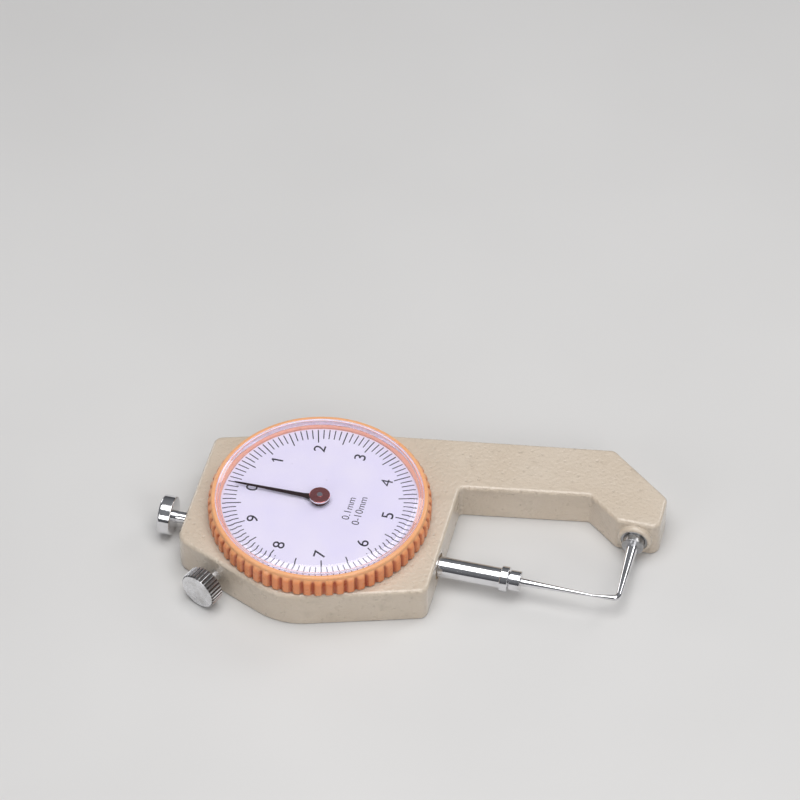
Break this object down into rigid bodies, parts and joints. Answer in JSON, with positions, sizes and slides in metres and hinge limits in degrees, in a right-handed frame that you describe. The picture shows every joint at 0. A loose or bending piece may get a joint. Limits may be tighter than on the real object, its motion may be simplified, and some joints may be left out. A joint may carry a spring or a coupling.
{
  "type": "dial thickness gauge",
  "caption": "Hand-held dial thickness gauge: cast frame with a cranked arm and hooked anvil, sliding needle spindle, rack and gear movement, turning bezel and a spindle lock screw.",
  "frame": {"origin": "dial axis on the flat back face", "axes": "+X along the spindle towards the anvil, +Z out of the dial, gauge lying on its back"},
  "size_m": [0.1229, 0.0686, 0.0178],
  "materials": {
    "cream_paint": "satin orange peel",
    "orange_plastic": "satin",
    "chrome": "polished",
    "steel": "satin",
    "brass": "satin",
    "black_paint": "satin",
    "white_dial": "matte",
    "clear_acrylic": "clear polished"
  },
  "bodies": {
    "frame": {"frame_casting": "cream_paint", "back_cover": "steel", "back_cover_screws": "steel", "front_bush": "brass", "rear_bush": "brass", "anvil_holder": "steel", "anvil_point": "chrome", "movement_plate": "brass", "movement_plate_screws": "steel", "pillars": "steel", "bridge_plate": "brass", "bridge_screws": "steel", "lower_pivot_bushes": "brass", "upper_pivot_bushes": "brass", "spring_post": "steel", "return_spring": "steel", "hairspring": "steel", "hairspring_stud": "steel", "bezel_wire": "steel"},
    "spindle": {"spindle_rod": "chrome", "lift_button": "chrome", "clamp_ring": "chrome", "needle_contact": "chrome", "guide_pin": "steel", "spring_pin": "steel"},
    "gear": {"rack_pinion": "steel", "drive_wheel": "brass"},
    "pointer": {"centre_arbor": "steel", "pointer_bush": "black_paint", "pointer_blade": "black_paint", "pointer_cap": "chrome"},
    "take_up": {"take_up_arbor": "steel", "take_up_wheel": "brass", "hairspring_collet": "brass"},
    "bezel": {"bezel_ring": "orange_plastic", "crystal": "clear_acrylic", "dial_plate": "white_dial"},
    "lock_pad": {"lock_pad": "brass"},
    "lock_screw": {"lock_screw": "chrome"}
  },
  "joints": [
    {"name": "spindle_slide", "type": "slide", "parent": "frame", "child": "spindle", "axis": [-1, 0, 0], "range_m": [0, 0.01], "stiffness_N_per_m": 60, "springref_m": -0.015, "deforming": ["return_spring"]},
    {"name": "gear_turn", "type": "hinge", "parent": "frame", "child": "gear", "pos_m": [0.00598, -0.01057, 0], "axis": [0, 0, 1], "range_deg": [-5, 185]},
    {"name": "pointer_turn", "type": "hinge", "parent": "frame", "child": "pointer", "pos_m": [0, 0, 0], "axis": [0, 0, -1], "range_deg": [-5, 365]},
    {"name": "take_up_turn", "type": "hinge", "parent": "frame", "child": "take_up", "pos_m": [-0.00773, 0.00938, 0], "axis": [0, 0, 1], "range_deg": [-5, 185], "deforming": ["hairspring"]},
    {"name": "bezel_turn", "type": "hinge", "parent": "frame", "child": "bezel", "pos_m": [0, 0, 0], "axis": [0, 0, 1], "continuous": true},
    {"name": "lock_pad_slide", "type": "slide", "parent": "frame", "child": "lock_pad", "axis": [-0.3958, -0.9183, 0], "range_m": [0, 0.001]},
    {"name": "lock_screw_turn", "type": "hinge", "parent": "lock_pad", "child": "lock_screw", "pos_m": [-0.021, -0.02187, 0.00525], "axis": [-0.3958, -0.9183, 0], "range_deg": [-5, 725]}
  ],
  "couplings": [
    {"joint": "gear_turn", "follows": "spindle_slide", "rad_per_m": 314.16},
    {"joint": "pointer_turn", "follows": "spindle_slide", "rad_per_m": 628.32},
    {"joint": "take_up_turn", "follows": "spindle_slide", "rad_per_m": 314.16},
    {"joint": "lock_screw_turn", "follows": "lock_pad_slide", "rad_per_m": 12566}
  ]
}
